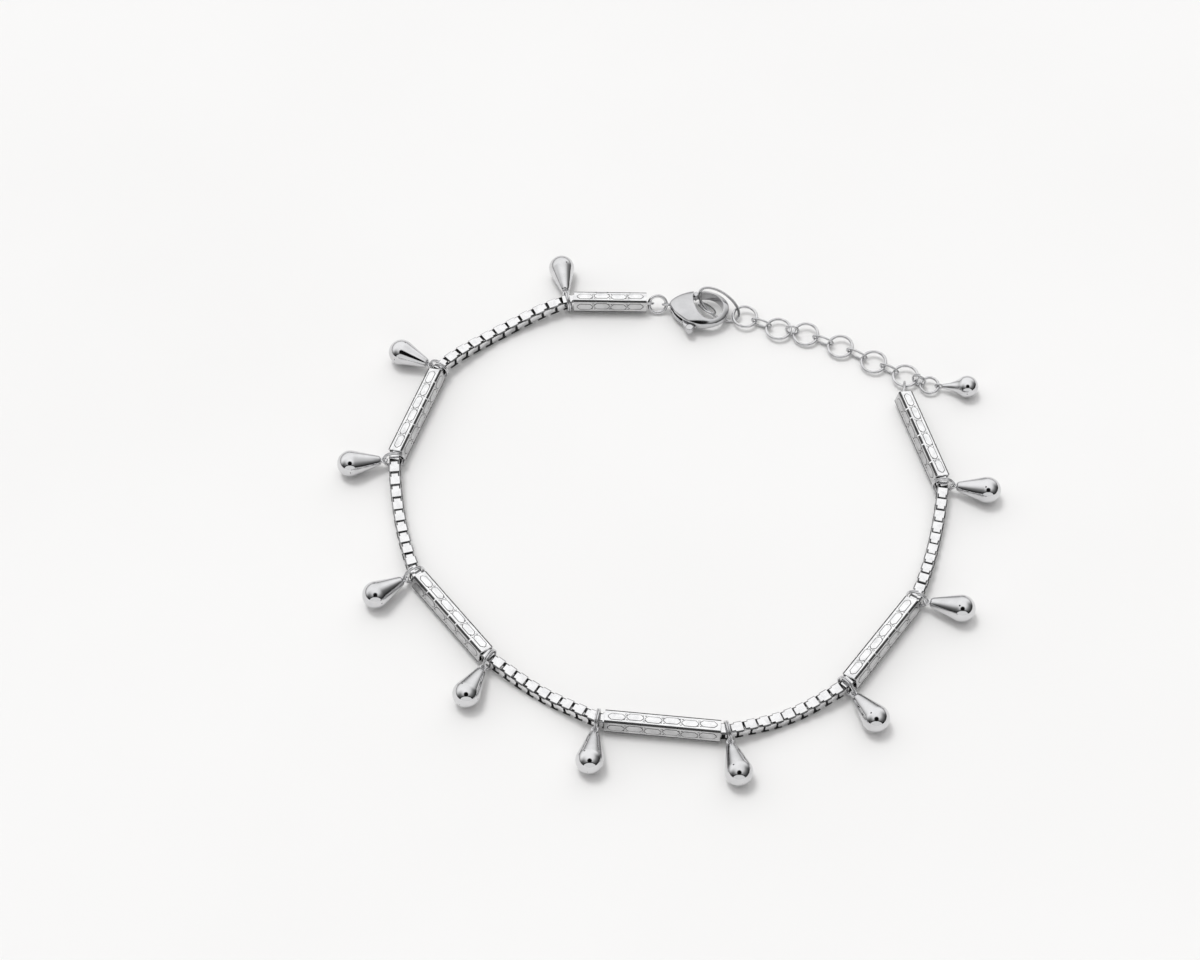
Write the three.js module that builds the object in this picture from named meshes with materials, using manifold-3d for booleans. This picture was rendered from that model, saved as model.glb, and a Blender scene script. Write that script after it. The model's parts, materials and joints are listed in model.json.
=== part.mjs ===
// A charm bracelet of square steel tubes threaded on a box chain, with teardrop charms,
// a lobster clasp and an extension chain, laid out closed on a flat surface.
// Millimetres, +Z up. The origin is the bottom centre of the whole bracelet's bounding box.
import * as THREE from 'three';
import { mergeVertices } from 'three/addons/utils/BufferGeometryUtils.js';
import Module from 'manifold-3d';

const wasm = await Module();
wasm.setup();

const degree = Math.PI / 180;

// Square tube bars
const barSide = 2.0;
const barWall = 0.16;
const barEdgeChamfer = 0.2;
const shortBarLength = 9.8;
const barLength = 14.0;

// Box chain, drawn as one eight-sided tube along its route
const chainSide = 1.45;
const chainFlat = 0.9;          // width of each flat; the corners between are cut away
const chainEndInset = 1.3;     // how far the chain's two free ends stop inside their tubes
const chainSplitGap = 0.3;      // between two stretches, in the middle of a tube
const mouthLead = 0.25;         // straight chain at each tube's mouth
const bendRadius = 3.0;         // of the chain where it turns out of a mouth

// Jump rings that hang the charms at the tube mouths
const ringWire = 0.18;          // wire radius
const ringRadius = 1.28;        // centre of the wire
const ringOffset = 0.85;        // from the mouth to the ring, along the chain
const ringShift = 0.12;         // how far the charm's pull moves the ring outwards
const ringYawShare = 0.6;       // share of the charm's splay that the ring follows
const barHeight = ringRadius + ringWire + 0.01;   // tube centres, carried on the rings

// The route starts at the clasp's end of the short tube and runs round by the left.
// A row is a tube and the chain after it: the chain bends out of the tube's mouth, follows one arc
// and bends into the next mouth. Turns are in degrees, to the left. The two splays are how far
// the charms at the two mouths point away from square to the chain. A tube's roll is its turn
// about its own length: laid down, each tube leans over a little.
const routeStart = { x: 6.3, y: 28.3, heading: 179 * degree };
const stretches = [
  { tube: shortBarLength, roll: 10, bendOut: 23, arc: 19.3, turn: 24, bendIn: 24.5, splayOut: -2, splayIn: 5 },
  { tube: barLength, roll: 15, bendOut: 23, arc: 16.9, turn: 15, bendIn: 19.5, splayOut: 18, splayIn: 9 },
  { tube: barLength, roll: -15, bendOut: 14, arc: 15, turn: 10, bendIn: 22, splayOut: 14, splayIn: 9 },
  { tube: barLength, roll: -11, bendOut: 19.5, arc: 15.1, turn: 20, bendIn: 19.5, splayOut: 7, splayIn: -7 },
  { tube: barLength, roll: -15, bendOut: 14.5, arc: 17, turn: 14, bendIn: 24.5, splayOut: 10, splayIn: -16 },
];
const lastBarRoll = 15;
const chainDip = barHeight - chainSide / 2 - 0.01;   // to the surface, half way along each stretch
const arcSteps = 7;
const bendSteps = 3;

// Charms: a small eye on a teardrop that lies on the surface
const charm = {
  eyeRadius: 0.36, eyeWire: 0.13, eyeTurn: 0,
  head: 0.4, headRadius: 0.56, length: 3.95, bulb: 1.72, joinAngle: 17.5, flare: [],
};
const endCharm = {
  eyeRadius: 0.42, eyeWire: 0.15, eyeTurn: 90,
  head: 0.42, headRadius: 0.36, length: 3.3, bulb: 1.47, joinAngle: 24,
  flare: [{ along: 1.1, radius: 0.5 }, { along: 2.0, radius: 0.86 }],
};
const shoulder = { depth: 0.32, capShare: 0.62, overlap: 0.04 };   // of a charm's head
const bulbSteps = 5;

// Extension chain: flat round rings, each rolled a little about the chain's line, and upright links.
// The first ring is propped up by the link in the clasp, the last by the loop out of the tube.
const extensionRadius = 1.625;
const extensionWire = 0.2;
const extensionHeight = 0.75;
const extensionRings = [
  { x: 19.56, y: 26.3, roll: 3.5, pitch: 4.5, z: 0.9 },
  { x: 24.0, y: 24.3, roll: 4 },
  { x: 27.65, y: 23.4, roll: 10 },
  { x: 32.15, y: 21.3, roll: 9 },
  { x: 36.45, y: 18.7, roll: 7 },
  { x: 40.5, y: 16.3, roll: 5, z: 0.84 },
];
const linkWire = 0.17;
const linkHalfHeight = 0.62;
const linkClearance = 0.2;
const shortLinkRadius = 0.84;    // the round links, where two rings nearly touch

// The small ring that carries the end charm
const endRing = { x: 43.6, y: 14.8, radius: 1.2, wire: 0.19, roll: 9, charmHeading: -9 };

// Lobster clasp. Its outlines are in its own frame: x from the bail towards the hook's end,
// y away from the thumb piece, z from the middle of its thickness.
const clasp = { x: 9.02, y: 27.78, z: 1.41 };
const claspLens = { x: 4.3, y: -0.65, lengthRadius: 4.5, widthRadius: 3.2, thicknessRadius: 1.3 };
const claspOutline = [
  [0.45, 0.35], [1.1, 1.0], [2.2, 1.62], [3.6, 2.05], [5.2, 2.32], [6.6, 1.98], [7.8, 0.95],
  [8.4, -0.5], [8.0, -2.1], [6.8, -3.2], [5.1, -3.7], [3.4, -3.45], [1.9, -2.5], [0.7, -0.9],
];
const claspOpening = [
  [3.75, 1.35], [3.6, 0.35], [3.85, -0.95], [4.4, -2.1], [5.4, -2.8], [6.6, -2.6],
  [7.4, -1.6], [7.55, -0.4], [7.15, 0.6], [6.3, 1.35], [5.1, 1.6],
];
const gateGap = [[3.75, 1.0], [4.6, 1.2], [4.6, 3.2], [3.75, 3.2]];
const leverSlot = [
  [0.2, -0.9], [0.9, 0.1], [1.5, 1.2], [2.6, 3.0], [4.6, 3.0], [4.6, 0.2], [3.75, -1.6],
  [3.75, -4.0], [0.6, -4.0],
];
const leverOutline = [
  [1.75, 0.25], [2.2, 1.2], [3.2, 1.9], [4.1, 2.05], [4.44, 1.74], [4.1, 1.32], [3.5, 1.0],
  [3.2, 0.35], [3.25, -0.9], [3.45, -3.9], [2.55, -3.9], [1.95, -1.1], [1.6, -0.4],
];
const gateOutline = [[3.85, 1.26], [4.1, 1.32], [4.44, 1.74], [4.1, 2.05], [3.85, 2.0]];
const leverHalf = 0.24;         // half the lever's thickness
const slotHalf = 0.31;
const gateHalf = 0.5;           // the gate's visible end is thicker than the lever
const pivot = { x: 2.4, y: -0.3, pin: 0.28, pinLength: 1.6, hole: 0.36 };
const thumb = { x: 3.0, y: -4.0, radius: 0.52, half: 0.5 };
const bail = { x: -0.02, y: 0.42, radius: 0.48, wire: 0.17 };

// The ring between the short tube and the clasp, leaning up on its near side, and the loops
// that come out of the two end tubes
const claspRing = { radius: 1.17, wire: 0.23, lean: 48, z: 1.2 };
const startLoop = { halfLength: 0.93, halfHeight: 0.53, reach: 0.92 };
const endLoop = { halfLength: 1.65, halfHeight: 0.58, reach: 3.02, turn: -25, slope: 17.5, mouthDrop: 0.03 };

// The oval link held by the clasp: it goes under the hook's band, up through the opening and over
// the band's other side, so its plane is tilted both ways.
const heldLink = {
  x: 7.06, y: 0.04, z: 1.67, halfLength: 3.12, halfWidth: 1.6, wire: 0.19,
  heading: -30.5, pitch: 21, roll: 38,
};

// The small oval link threaded on the held link, which lies down in the clasp's opening
const innerLink = {
  x: 5.43, y: 0.07, z: 0.89, halfLength: 1.9, halfWidth: 0.8, wire: 0.14,
  heading: -61.5, pitch: -20.8, roll: -24.4,
};

const tubeSteel = new THREE.MeshStandardMaterial({ color: 0xd2d3d6, metalness: 1, roughness: 0.24 });
const chainSteel = new THREE.MeshStandardMaterial({ color: 0xd6d7da, metalness: 1, roughness: 0.16 });
const wireSteel = new THREE.MeshStandardMaterial({ color: 0xd8d9dc, metalness: 1, roughness: 0.12 });
const mirrorSteel = new THREE.MeshStandardMaterial({ color: 0xdddee1, metalness: 1, roughness: 0.06 });

const bracelet = new THREE.Group();

function addMesh(name, geometry, material, place = {}) {
  const mesh = new THREE.Mesh(geometry, material);
  mesh.name = name;
  mesh.position.set(place.x ?? 0, place.y ?? 0, place.z ?? 0);
  mesh.rotation.z = place.heading ?? 0;
  bracelet.add(mesh);
  return mesh;
}

function toSolid(geometry) {
  const bare = geometry.clone();
  bare.deleteAttribute('normal');
  bare.deleteAttribute('uv');
  const merged = mergeVertices(bare, 1e-5);
  return new wasm.Manifold(new wasm.Mesh({
    numProp: 3,
    vertProperties: new Float32Array(merged.attributes.position.array),
    triVerts: new Uint32Array(merged.index.array),
  }));
}

function toGeometry(solid) {
  const { vertProperties, triVerts } = solid.getMesh();
  const geometry = new THREE.BufferGeometry();
  geometry.setAttribute('position', new THREE.BufferAttribute(new Float32Array(vertProperties), 3));
  geometry.setIndex(new THREE.BufferAttribute(new Uint32Array(triVerts), 1));
  geometry.computeVertexNormals();
  return geometry;
}

function prism(points, half) {
  const shape = new THREE.Shape(points.map(([x, y]) => new THREE.Vector2(x, y)));
  const geometry = new THREE.ExtrudeGeometry(shape, { depth: 2 * half, bevelEnabled: false });
  return geometry.translate(0, 0, -half);
}

function smoothOutline(points, count) {
  const spline = new THREE.CatmullRomCurve3(points.map(([x, y]) => new THREE.Vector3(x, y, 0)), true);
  return spline.getPoints(count).slice(0, count).map((point) => [point.x, point.y]);
}

// A wire ring in the XY plane whose centre line is an ellipse, longer along X
function wireLoop(halfLength, halfHeight, wire, segments = 16) {
  const geometry = new THREE.TorusGeometry(halfHeight, wire, 6, segments);
  const position = geometry.attributes.position;
  for (let i = 0; i < position.count; i += 1) {
    const x = position.getX(i);
    const around = Math.atan2(position.getY(i), x);
    position.setX(i, x + (halfLength - halfHeight) * Math.cos(around));
  }
  return geometry;
}

// Moves a place along its heading, turning evenly on the way
function advance(from, length, turn = 0) {
  const chord = turn === 0 ? length : (2 * length / turn) * Math.sin(turn / 2);
  const middle = from.heading + turn / 2;
  return {
    x: from.x + chord * Math.cos(middle),
    y: from.y + chord * Math.sin(middle),
    heading: from.heading + turn,
  };
}

// A curve through the stations of a route, whose cross sections sit on the stations themselves
class StationCurve extends THREE.Curve {
  constructor(stations) {
    super();
    this.stations = stations;
  }

  getPoint(t, target = new THREE.Vector3()) {
    const at = t * (this.stations.length - 1);
    const index = Math.min(Math.floor(at), this.stations.length - 2);
    const from = this.stations[index];
    const to = this.stations[index + 1];
    return target.set(from.x, from.y, from.z).lerp(new THREE.Vector3(to.x, to.y, to.z), at - index);
  }

  getTangent(t, target = new THREE.Vector3()) {
    const { heading } = this.stations[Math.round(t * (this.stations.length - 1))];
    return target.set(Math.cos(heading), Math.sin(heading), 0);
  }

  getUtoTmapping(u) {
    return u;
  }
}

function tubeGeometry(length, roll) {
  const half = barSide / 2;
  const cut = half - barEdgeChamfer;
  const shape = new THREE.Shape([
    [half, -cut], [half, cut], [cut, half], [-cut, half],
    [-half, cut], [-half, -cut], [-cut, -half], [cut, -half],
  ].map(([y, z]) => new THREE.Vector2(y, z)));
  const bore = half - barWall;
  const hole = new THREE.Path([[-bore, -bore], [-bore, bore], [bore, bore], [bore, -bore]]
    .map(([y, z]) => new THREE.Vector2(y, z)));
  shape.holes.push(hole);
  const geometry = new THREE.ExtrudeGeometry(shape, { depth: length, bevelEnabled: false });
  geometry.rotateX(90 * degree).rotateZ(90 * degree);   // the tube then runs along +X
  return geometry.rotateX(roll * degree);
}

function chainGeometry(stations) {
  const side = chainSide / 2;
  const flat = chainFlat / 2;
  const section = new THREE.Shape([
    [side, -flat], [side, flat], [flat, side], [-flat, side],
    [-side, flat], [-side, -flat], [-flat, -side], [flat, -side],
  ].map(([x, y]) => new THREE.Vector2(x, y)));
  return new THREE.ExtrudeGeometry(section, {
    steps: stations.length - 1,
    extrudePath: new StationCurve(stations),
    bevelEnabled: false,
  });
}

// A teardrop along +X from its eye at the origin, which lies flat before its turn. The head rises
// to a straight cone, or to the flare's points, and then rolls over into the round bulb.
function charmGeometry({ eyeRadius, eyeWire, eyeTurn, head, headRadius, length, bulb, joinAngle, flare }) {
  const centre = head + length;
  const profile = [
    [0, head - shoulder.overlap],
    [headRadius * shoulder.capShare, head],
    [headRadius, head + shoulder.depth],
  ];
  for (const { along, radius } of flare) profile.push([radius, head + along]);
  for (let step = 0; step < bulbSteps; step += 1) {
    const angle = (-joinAngle + step * (90 + joinAngle) / bulbSteps) * degree;
    profile.push([bulb * Math.cos(angle), centre + bulb * Math.sin(angle)]);
  }
  profile.push([0, centre + bulb]);
  const points = profile.map(([radius, along]) => new THREE.Vector2(radius, along));
  const teardrop = new THREE.LatheGeometry(points, 12).rotateZ(-90 * degree);
  const eye = new THREE.TorusGeometry(eyeRadius, eyeWire, 5, 12).rotateX(eyeTurn * degree);
  return toGeometry(toSolid(teardrop).add(toSolid(eye)));
}

// Adds a charm whose eye is at the given place and whose bulb lies on the surface
function addCharm(name, shape, eye) {
  const mesh = addMesh(name, charmGeometry(shape), mirrorSteel, eye);
  mesh.rotation.order = 'ZYX';
  mesh.rotation.y = -Math.asin((shape.bulb - eye.z) / (shape.head + shape.length));
}

// The places along one stretch, from the middle of its first tube to the middle of its second
function walkStretch(mouth, row, backInset, aheadInset) {
  const bendOut = row.bendOut * degree;
  const bendIn = row.bendIn * degree;
  const pieces = [
    { length: mouthLead, turn: 0, steps: 1 },
    { length: bendRadius * bendOut, turn: bendOut, steps: bendSteps },
    { length: row.arc, turn: row.turn * degree, steps: arcSteps, dips: true },
    { length: bendRadius * bendIn, turn: bendIn, steps: bendSteps },
    { length: mouthLead, turn: 0, steps: 1 },
  ];
  let at = advance(mouth, -backInset);
  const stations = [{ ...at, z: barHeight }, { ...mouth, z: barHeight }];
  at = mouth;
  for (const { length, turn, steps, dips } of pieces) {
    for (let step = 1; step <= steps; step += 1) {
      at = advance(at, length / steps, turn / steps);
      const dip = dips ? chainDip * Math.sin(Math.PI * step / steps) ** 2 : 0;
      stations.push({ ...at, z: barHeight - dip });
    }
  }
  const nextMouth = at;
  stations.push({ ...advance(nextMouth, aheadInset), z: barHeight });
  return { stations, nextMouth };
}

// A jump ring beyond a tube's mouth, and the charm that hangs outwards from it. The chain runs
// out of the mouth along its heading and bends there; outSide is +90 or -90 degrees from it.
function addCharmAt(mouth, bend, outSide, splay, number) {
  const along = ringOffset - mouthLead;
  const turn = Math.sign(bend) * Math.min(Math.abs(bend) * degree, along / bendRadius);
  const at = advance(advance(mouth, mouthLead), along, turn);
  const outward = at.heading + outSide;
  const yaw = splay * ringYawShare * degree;
  const ring = { ...advance({ ...at, heading: outward }, ringShift), z: barHeight, heading: outward + yaw };
  const ringGeometry = new THREE.TorusGeometry(ringRadius, ringWire, 6, 16).rotateX(90 * degree);
  addMesh(`junction_ring_${number}`, ringGeometry, wireSteel, ring);
  const eye = advance(ring, ringRadius);
  addCharm(`charm_${number}`, charm, { ...eye, z: barHeight, heading: outward + splay * degree });
}

// Tubes, chain stretches, jump rings and charms, walked round from the clasp's end
let mouth = { ...routeStart };
addMesh('bar_1', tubeGeometry(stretches[0].tube, stretches[0].roll), tubeSteel, { ...mouth, z: barHeight });
mouth = advance(mouth, stretches[0].tube);
stretches.forEach((row, index) => {
  const nextTube = stretches[index + 1]?.tube ?? barLength;
  const nextRoll = stretches[index + 1]?.roll ?? lastBarRoll;
  const isFirst = index === 0;
  const isLast = index === stretches.length - 1;
  const backInset = isFirst ? row.tube - chainEndInset : (row.tube - chainSplitGap) / 2;
  const aheadInset = isLast ? nextTube - chainEndInset : (nextTube - chainSplitGap) / 2;
  const { stations, nextMouth } = walkStretch(mouth, row, backInset, aheadInset);
  addMesh(`chain_${index + 1}`, chainGeometry(stations), chainSteel);
  addCharmAt(mouth, row.bendOut, -90 * degree, row.splayOut, 2 * index + 1);
  const backwards = { ...nextMouth, heading: nextMouth.heading + Math.PI };
  addCharmAt(backwards, -row.bendIn, 90 * degree, row.splayIn, 2 * index + 2);
  addMesh(`bar_${index + 2}`, tubeGeometry(nextTube, nextRoll), tubeSteel, { ...nextMouth, z: barHeight });
  mouth = advance(nextMouth, nextTube);
});

// The loops out of the two end tubes: one holds the clasp's ring, the other the extension chain
const startMouth = { ...routeStart, heading: routeStart.heading + Math.PI };
const startPlace = advance(startMouth, startLoop.reach - startLoop.halfLength);
const startGeometry = wireLoop(startLoop.halfLength, startLoop.halfHeight, linkWire)
  .rotateX(90 * degree)
  .rotateX(claspRing.lean * degree);
addMesh('start_loop', startGeometry, wireSteel, { ...startPlace, z: (barHeight + claspRing.z) / 2 });

const endMiddle = endLoop.reach - endLoop.halfLength;
const endPlace = advance({ ...mouth, heading: mouth.heading + endLoop.turn * degree }, endMiddle);
const endGeometry = wireLoop(endLoop.halfLength, endLoop.halfHeight, linkWire)
  .rotateX(90 * degree)
  .rotateY(endLoop.slope * degree);
const endDrop = endLoop.mouthDrop + endMiddle * Math.tan(endLoop.slope * degree);
addMesh('end_loop', endGeometry, wireSteel, { ...endPlace, z: barHeight - endDrop });

// The clasp's jump ring, its lens-shaped body with the hook, and the lever
const claspRingGeometry = new THREE.TorusGeometry(claspRing.radius, claspRing.wire, 6, 18)
  .rotateX(claspRing.lean * degree);
addMesh('clasp_ring', claspRingGeometry, wireSteel, {
  x: clasp.x + bail.x - claspRing.radius, y: clasp.y + bail.y, z: claspRing.z,
});

function claspBodySolid() {
  const lens = new THREE.SphereGeometry(1, 28, 14);
  lens.rotateX(90 * degree);
  lens.scale(claspLens.lengthRadius, claspLens.widthRadius, claspLens.thicknessRadius);
  lens.translate(claspLens.x, claspLens.y, 0);
  const pin = new THREE.CylinderGeometry(pivot.pin, pivot.pin, pivot.pinLength, 12).rotateX(90 * degree);
  pin.translate(pivot.x, pivot.y, 0);
  const bailRing = new THREE.TorusGeometry(bail.radius, bail.wire, 6, 14)
    .rotateX(90 * degree)
    .rotateX(claspRing.lean * degree)
    .translate(bail.x, bail.y, claspRing.z - clasp.z);
  const through = 2;
  return toSolid(prism(smoothOutline(claspOutline, 44), through))
    .intersect(toSolid(lens))
    .subtract(toSolid(prism(smoothOutline(claspOpening, 30), through)))
    .subtract(toSolid(prism(gateGap, through)))
    .subtract(toSolid(prism(leverSlot, slotHalf)))
    .add(toSolid(pin))
    .add(toSolid(bailRing));
}
addMesh('clasp_body', toGeometry(claspBodySolid()), mirrorSteel, clasp);

function leverSolid() {
  const hole = new THREE.CylinderGeometry(pivot.hole, pivot.hole, 3, 12).rotateX(90 * degree);
  hole.translate(pivot.x, pivot.y, 0);
  const pad = new THREE.CylinderGeometry(thumb.radius, thumb.radius, 2 * thumb.half, 14);
  pad.rotateX(90 * degree).translate(thumb.x, thumb.y, 0);
  const gate = prism(gateOutline, gateHalf);
  return toSolid(prism(leverOutline, leverHalf))
    .add(toSolid(gate))
    .add(toSolid(pad))
    .subtract(toSolid(hole));
}
addMesh('clasp_lever', toGeometry(leverSolid()), mirrorSteel, clasp);

// Adds an oval link at its place from the clasp, tilted along and across itself
function addTiltedLink(name, { x, y, z, halfLength, halfWidth, wire, heading, pitch, roll }) {
  const geometry = wireLoop(halfLength, halfWidth, wire, 24)
    .rotateX(roll * degree)
    .rotateY(pitch * degree);
  addMesh(name, geometry, wireSteel, { x: clasp.x + x, y: clasp.y + y, z, heading: heading * degree });
}
addTiltedLink('held_link', heldLink);
addTiltedLink('inner_link', innerLink);

// Extension chain
function headingBetween(from, to) {
  return Math.atan2(to.y - from.y, to.x - from.x);
}

function addUprightLink(name, from, fromRadius, to, toRadius, round) {
  const distance = Math.hypot(to.x - from.x, to.y - from.y);
  const start = fromRadius - extensionWire - linkWire - linkClearance;
  const end = distance - toRadius + extensionWire + linkWire + linkClearance;
  const halfLength = round ? shortLinkRadius : (end - start) / 2;
  const halfHeight = round ? shortLinkRadius : linkHalfHeight;
  const middle = advance({ ...from, heading: headingBetween(from, to) }, (start + end) / 2);
  const geometry = wireLoop(halfLength, halfHeight, linkWire).rotateX(90 * degree);
  addMesh(name, geometry, wireSteel, { ...middle, z: halfHeight + linkWire });
}

extensionRings.forEach((ring, index) => {
  const before = extensionRings[Math.max(index - 1, 0)];
  const after = extensionRings[Math.min(index + 1, extensionRings.length - 1)];
  const geometry = new THREE.TorusGeometry(extensionRadius, extensionWire, 6, 18)
    .rotateX(ring.roll * degree)
    .rotateY((ring.pitch ?? 0) * degree);
  addMesh(`extension_ring_${index + 1}`, geometry, wireSteel, {
    x: ring.x, y: ring.y, z: ring.z ?? extensionHeight, heading: headingBetween(before, after),
  });
  if (index > 0) {
    addUprightLink(`extension_link_${index}`, before, extensionRadius, ring, extensionRadius, index === 2);
  }
});

const lastRing = extensionRings[extensionRings.length - 1];
const endHeading = headingBetween(lastRing, endRing);
addUprightLink('end_link', lastRing, extensionRadius, endRing, endRing.radius, true);
const endRingGeometry = new THREE.TorusGeometry(endRing.radius, endRing.wire, 6, 16)
  .rotateX(endRing.roll * degree);
addMesh('end_ring', endRingGeometry, wireSteel, { ...endRing, z: extensionHeight, heading: endHeading });

const endCharmHeading = endRing.charmHeading * degree;
const endEye = advance({ ...endRing, heading: endCharmHeading }, endRing.radius);
const endEyeRise = endRing.radius * Math.sin(endCharmHeading - endHeading) * Math.sin(endRing.roll * degree);
addCharm('end_charm', endCharm, { ...endEye, z: extensionHeight + endEyeRise });

// Stand the bracelet on its origin
const bounds = new THREE.Box3().setFromObject(bracelet, true);
const centre = bounds.getCenter(new THREE.Vector3());
bracelet.position.set(-centre.x, -centre.y, -bounds.min.z);

export default bracelet;
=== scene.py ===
import json
import math

import bmesh
import bpy
import numpy as np
from mathutils import Matrix, Vector


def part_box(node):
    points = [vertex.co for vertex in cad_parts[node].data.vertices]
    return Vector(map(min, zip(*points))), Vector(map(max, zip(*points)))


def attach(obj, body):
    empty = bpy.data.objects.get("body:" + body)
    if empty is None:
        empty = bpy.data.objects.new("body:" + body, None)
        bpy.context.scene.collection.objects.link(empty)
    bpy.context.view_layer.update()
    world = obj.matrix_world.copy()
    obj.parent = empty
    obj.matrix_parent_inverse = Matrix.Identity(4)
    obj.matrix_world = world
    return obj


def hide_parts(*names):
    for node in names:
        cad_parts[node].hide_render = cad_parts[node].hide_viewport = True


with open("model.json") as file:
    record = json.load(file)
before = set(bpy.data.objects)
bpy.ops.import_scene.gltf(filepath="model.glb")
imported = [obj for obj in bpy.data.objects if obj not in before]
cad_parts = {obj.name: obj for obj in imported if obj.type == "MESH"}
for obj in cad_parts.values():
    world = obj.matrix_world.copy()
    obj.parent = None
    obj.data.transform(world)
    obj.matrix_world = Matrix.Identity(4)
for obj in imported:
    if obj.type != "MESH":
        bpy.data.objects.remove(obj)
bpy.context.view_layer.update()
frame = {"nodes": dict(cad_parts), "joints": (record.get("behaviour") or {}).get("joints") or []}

millimetre = 0.001   # pieces are modelled in millimetres at the origin and placed in metres
tiny = 1e-4          # in millimetres, a gap that counts as none
facing = 0.9         # a face looks along an axis when its normal goes this far along it
print("frame loaded:", len(frame["nodes"]), "solids")


# Selecting and editing

def leaveEditMode():
    if bpy.context.object and bpy.context.object.mode != "OBJECT":
        bpy.ops.object.mode_set(mode="OBJECT")


def selectOnly(*pieces):
    leaveEditMode()
    bpy.ops.object.select_all(action="DESELECT")
    for piece in pieces:
        piece.select_set(True)
    bpy.context.view_layer.objects.active = pieces[0]


def pick(piece, kind, test):
    selectOnly(piece)
    bpy.ops.object.mode_set(mode="EDIT")
    bpy.ops.mesh.select_mode(type=kind)
    bpy.ops.mesh.select_all(action="DESELECT")
    mesh = bmesh.from_edit_mesh(piece.data)
    for part in {"VERT": mesh.verts, "EDGE": mesh.edges, "FACE": mesh.faces}[kind]:
        if test(part):
            part.select_set(True)
    mesh.select_flush_mode()
    bmesh.update_edit_mesh(piece.data)


def pickAll(piece):
    pick(piece, "FACE", lambda face: True)


def faceOutwards(piece, merge=False):
    pickAll(piece)
    if merge:
        bpy.ops.mesh.remove_doubles(threshold=tiny)
    bpy.ops.mesh.normals_make_consistent(inside=False)
    leaveEditMode()


def spanOf(edge, axis):
    # how far an edge reaches along X, Y or Z: 0, 1 or 2
    return abs(edge.verts[0].co[axis] - edge.verts[1].co[axis])


def addedPiece(name):
    piece = bpy.context.object
    piece.name = name
    piece.data.name = name
    bpy.ops.object.transform_apply(location=True, rotation=True, scale=True)
    return piece


def boxPiece(name, sizes, at=(0, 0, 0)):
    bpy.ops.mesh.primitive_cube_add(size=1, location=at)
    bpy.context.object.scale = sizes
    return addedPiece(name)


def applyModifier(piece, kind, **values):
    modifier = piece.modifiers.new(kind, kind)
    for key, value in values.items():
        setattr(modifier, key, value)
    selectOnly(piece)
    bpy.ops.object.modifier_apply(modifier=modifier.name)


def copyOf(piece, name, place=Matrix.Identity(4)):
    twin = piece.copy()
    twin.data = piece.data.copy()
    twin.name = name
    bpy.context.collection.objects.link(twin)
    twin.data.transform(place)
    return twin


def joined(pieces, name):
    selectOnly(*pieces)
    bpy.ops.object.join()
    piece = bpy.context.object
    piece.name = name
    return piece


def discard(*pieces):
    for piece in pieces:
        bpy.data.objects.remove(piece, do_unlink=True)


def smoothed(piece, degrees=40):
    selectOnly(piece)
    bpy.ops.object.shade_smooth_by_angle(angle=math.radians(degrees))


# Reading places from the solids

def cornersOf(node):
    points = np.array([vertex.co for vertex in frame["nodes"][node].data.vertices])
    return np.unique(np.round(points / millimetre, 4), axis=0)


sectionReach = math.sin(math.radians(60))   # of a solid wire's six-sided section, as a share of its radius


def wireOf(node):
    # the place, turn and sizes of a solid ring or oval link, in millimetres
    points = cornersOf(node)
    centre = points.mean(axis=0)
    turn = np.linalg.svd(points - centre)[2]
    if np.linalg.det(turn) < 0:
        turn[2] *= -1
    reach = np.abs((points - centre) @ turn.T).max(axis=0)
    wire = reach[2] / sectionReach
    place = Matrix.Translation(Vector(centre)) @ Matrix(turn.T.tolist()).to_4x4()
    return {
        "place": place, "wire": wire,
        "halfLength": reach[0] - wire, "halfWidth": reach[1] - wire,
    }


def axisPlace(origin, along, up=Vector((0, 0, 1))):
    # +X runs along the piece and +Z leans to up
    side = up.cross(along).normalized()
    turn = Matrix((along.normalized(), side, along.cross(side).normalized())).transposed()
    return Matrix.Translation(origin) @ turn.to_4x4()


# Camera

cameraSettings = {
    "lens": 75, "elevation": 55, "distance": 0.3228, "lookAt": Vector((-0.0087, 0.0047, 0)),
    "clipStart": 0.01,
}


def addCamera(settings):
    elevation = math.radians(settings["elevation"])
    offset = Vector((0, -math.cos(elevation), math.sin(elevation))) * settings["distance"]
    bpy.ops.object.camera_add(
        location=settings["lookAt"] + offset, rotation=(math.pi / 2 - elevation, 0, 0)
    )
    camera = bpy.context.object
    camera.name = "camera"
    camera.data.lens = settings["lens"]
    camera.data.clip_start = settings["clipStart"]
    bpy.context.scene.camera = camera


addCamera(cameraSettings)
print("camera added")


# Light and floor

studioSettings = {
    # brightness by height, as shares of the strength: bright behind, a dark room in front
    "strength": 1.14,
    "behind": [(0.0, 0.26), (0.1, 0.42), (0.26, 0.82), (0.45, 1.0), (1.0, 1.04)],
    "inFront": [
        (0.0, 0.004), (0.22, 0.05), (0.41, 0.12), (0.56, 0.22), (0.67, 0.38), (0.84, 0.8), (1.0, 1.0),
    ],
    "bright": {"towards": Vector((-0.35, 0.94, 0)), "radius": 58, "edge": 42},
    # the light card in front in its dark frame, and the dark lens above it
    "frame": {"towards": Vector((0, -0.995, -0.1)), "radius": 46, "edge": 9},
    "card": {"towards": Vector((0, -0.995, -0.1)), "radius": 43, "edge": 2},
    "lens": {"towards": Vector((0, -0.559, 0.829)), "radius": 15, "edge": 7},
    "frameLevel": 0.01, "cardLevel": 0.76, "lensLevel": 0.003, "backdropLevel": 0.82,
}


def heightRamp(nodes, links, height, levels):
    ramp = nodes.new("ShaderNodeValToRGB")
    while len(ramp.color_ramp.elements) < len(levels):
        ramp.color_ramp.elements.new(0.5)
    for element, (position, level) in zip(ramp.color_ramp.elements, levels):
        element.position = position
        element.color = (level, level, level, 1)
    links.new(height, ramp.inputs["Fac"])
    return ramp.outputs["Color"]


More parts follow.
